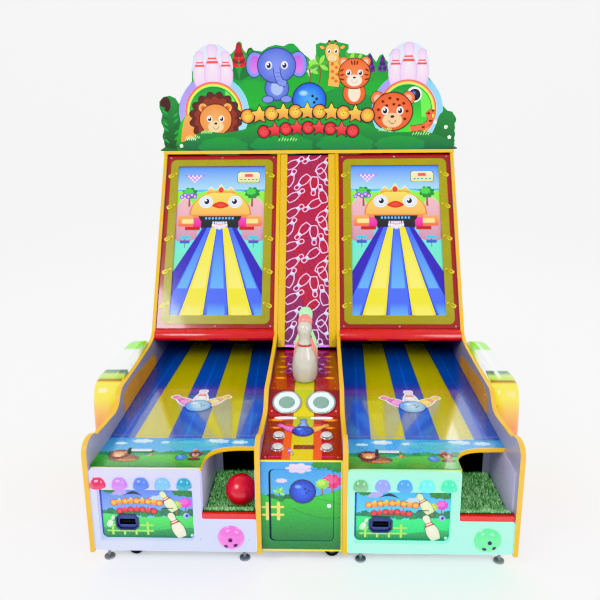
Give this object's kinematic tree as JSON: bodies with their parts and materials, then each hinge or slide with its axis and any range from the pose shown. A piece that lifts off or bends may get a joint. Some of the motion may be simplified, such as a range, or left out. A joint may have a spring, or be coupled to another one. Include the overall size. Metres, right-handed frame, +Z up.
{
  "type": "twin-lane bowling redemption machine",
  "caption": "Free-standing twin-lane bowling redemption machine with leaning portrait screens, ball boxes, ticket doors, button console and cut-out topper.",
  "frame": {"origin": "on the floor, under the middle of the machine", "axes": "+X to the player's right, +Y to the back of the machine, +Z up"},
  "size_m": [2.038, 1.966, 2.302],
  "materials": {
    "laminated_board": "satin",
    "frame_steel": "satin",
    "black_board": "satin",
    "printed_lane": "gloss",
    "printed_panel": "gloss",
    "lit_white": "gloss",
    "turf": "matte",
    "dark_plastic": "matte",
    "red_gloss": "gloss",
    "lamp_lens": "gloss",
    "display_glass": "gloss",
    "chrome_trim": "polished",
    "yellow_lens": "gloss",
    "button_cap": "gloss",
    "ball_red": "gloss",
    "neon_print": "gloss",
    "topper_acrylic": "gloss",
    "pin_white": "gloss",
    "wheel_rubber": "matte"
  },
  "bodies": {
    "cabinet": {"side_panel_left_outer": "laminated_board", "side_panel_left_inner": "laminated_board", "side_panel_right_inner": "laminated_board", "side_panel_right_outer": "laminated_board", "base_frame": "frame_steel", "top_panel": "laminated_board", "rear_panel": "black_board", "lane_deck_left": "printed_lane", "ball_return_left": "black_board", "counter_left": "printed_panel", "front_panel_left": "lit_white", "ball_box_left": "laminated_board", "turf_mat_left": "turf", "ticket_dispenser_left": "dark_plastic", "screen_lip_left": "red_gloss", "ball_lamp_left": "lamp_lens", "screen_bezel_left": "red_gloss", "display_left": "display_glass", "speaker_left": "chrome_trim", "side_lamp_left": "yellow_lens", "lane_deck_right": "printed_lane", "ball_return_right": "black_board", "counter_right": "printed_panel", "front_panel_right": "lit_white", "ball_box_right": "laminated_board", "turf_mat_right": "turf", "ticket_dispenser_right": "dark_plastic", "screen_lip_right": "red_gloss", "ball_lamp_right": "lamp_lens", "screen_bezel_right": "red_gloss", "display_right": "display_glass", "speaker_right": "chrome_trim", "side_lamp_right": "yellow_lens", "console_front": "printed_panel", "console_panel": "printed_panel", "neon_panel": "neon_print", "game_computer": "dark_plastic", "power_supply": "frame_steel", "topper_board": "topper_acrylic", "pin_front": "pin_white", "pin_middle": "pin_white", "pin_rear": "pin_white"},
    "service_door": {"service_door": "printed_panel"},
    "ticket_door_left": {"ticket_door_left": "printed_panel"},
    "ticket_door_right": {"ticket_door_right": "printed_panel"},
    "rear_door_left": {"rear_door_left": "black_board"},
    "rear_door_right": {"rear_door_right": "black_board"},
    "bowling_ball": {"bowling_ball": "ball_red"},
    "button_front_left": {"button_front_left": "button_cap"},
    "button_back_left": {"button_back_left": "button_cap"},
    "button_front_right": {"button_front_right": "button_cap"},
    "button_back_right": {"button_back_right": "button_cap"},
    "caster_fork_front_left": {"caster_fork_front_left": "frame_steel"},
    "caster_wheel_front_left": {"caster_wheel_front_left": "wheel_rubber"},
    "caster_fork_front_middle": {"caster_fork_front_middle": "frame_steel"},
    "caster_wheel_front_middle": {"caster_wheel_front_middle": "wheel_rubber"},
    "caster_fork_rear_left": {"caster_fork_rear_left": "frame_steel"},
    "caster_wheel_rear_left": {"caster_wheel_rear_left": "wheel_rubber"},
    "caster_fork_rear_right": {"caster_fork_rear_right": "frame_steel"},
    "caster_wheel_rear_right": {"caster_wheel_rear_right": "wheel_rubber"}
  },
  "joints": [
    {"name": "service_door_hinge", "type": "hinge", "parent": "cabinet", "child": "service_door", "pos_m": [-0.13, -0.949, 0.284], "axis": [0, 0, -1], "range_deg": [0, 105]},
    {"name": "ticket_door_left_hinge", "type": "hinge", "parent": "cabinet", "child": "ticket_door_left", "pos_m": [-0.836, -0.9505, 0.237], "axis": [0, 0, -1], "range_deg": [0, 100]},
    {"name": "ticket_door_right_hinge", "type": "hinge", "parent": "cabinet", "child": "ticket_door_right", "pos_m": [0.216, -0.9505, 0.237], "axis": [0, 0, -1], "range_deg": [0, 100]},
    {"name": "rear_door_left_hinge", "type": "hinge", "parent": "cabinet", "child": "rear_door_left", "pos_m": [-0.833, 0.982, 0.6], "axis": [0, 0, 1], "range_deg": [0, 105]},
    {"name": "rear_door_right_hinge", "type": "hinge", "parent": "cabinet", "child": "rear_door_right", "pos_m": [0.833, 0.982, 0.6], "axis": [0, 0, -1], "range_deg": [0, 105]},
    {"name": "ball_lift", "type": "slide", "parent": "cabinet", "child": "bowling_ball", "axis": [0, 0, 1], "range_m": [0, 0.4]},
    {"name": "button_front_left_press", "type": "slide", "parent": "cabinet", "child": "button_front_left", "axis": [0, 0.0506, -0.9987], "range_m": [0, 0.004], "stiffness_N_per_m": 300, "springref_m": -0.004},
    {"name": "button_back_left_press", "type": "slide", "parent": "cabinet", "child": "button_back_left", "axis": [0, 0.0506, -0.9987], "range_m": [0, 0.004], "stiffness_N_per_m": 300, "springref_m": -0.004},
    {"name": "button_front_right_press", "type": "slide", "parent": "cabinet", "child": "button_front_right", "axis": [0, 0.0506, -0.9987], "range_m": [0, 0.004], "stiffness_N_per_m": 300, "springref_m": -0.004},
    {"name": "button_back_right_press", "type": "slide", "parent": "cabinet", "child": "button_back_right", "axis": [0, 0.0506, -0.9987], "range_m": [0, 0.004], "stiffness_N_per_m": 300, "springref_m": -0.004},
    {"name": "caster_front_left_swivel", "type": "hinge", "parent": "cabinet", "child": "caster_fork_front_left", "pos_m": [-0.74, -0.876, 0.06], "axis": [0, 0, 1], "continuous": true},
    {"name": "caster_front_left_roll", "type": "hinge", "parent": "caster_fork_front_left", "child": "caster_wheel_front_left", "pos_m": [-0.72, -0.876, 0.034], "axis": [0, 1, 0], "continuous": true},
    {"name": "caster_front_middle_swivel", "type": "hinge", "parent": "cabinet", "child": "caster_fork_front_middle", "pos_m": [0.106, -0.876, 0.06], "axis": [0, 0, 1], "continuous": true},
    {"name": "caster_front_middle_roll", "type": "hinge", "parent": "caster_fork_front_middle", "child": "caster_wheel_front_middle", "pos_m": [0.126, -0.876, 0.034], "axis": [0, 1, 0], "continuous": true},
    {"name": "caster_rear_left_swivel", "type": "hinge", "parent": "cabinet", "child": "caster_fork_rear_left", "pos_m": [-0.74, 0.904, 0.06], "axis": [0, 0, 1], "continuous": true},
    {"name": "caster_rear_left_roll", "type": "hinge", "parent": "caster_fork_rear_left", "child": "caster_wheel_rear_left", "pos_m": [-0.72, 0.904, 0.034], "axis": [0, 1, 0], "continuous": true},
    {"name": "caster_rear_right_swivel", "type": "hinge", "parent": "cabinet", "child": "caster_fork_rear_right", "pos_m": [0.74, 0.904, 0.06], "axis": [0, 0, 1], "continuous": true},
    {"name": "caster_rear_right_roll", "type": "hinge", "parent": "caster_fork_rear_right", "child": "caster_wheel_rear_right", "pos_m": [0.76, 0.904, 0.034], "axis": [0, 1, 0], "continuous": true}
  ]
}
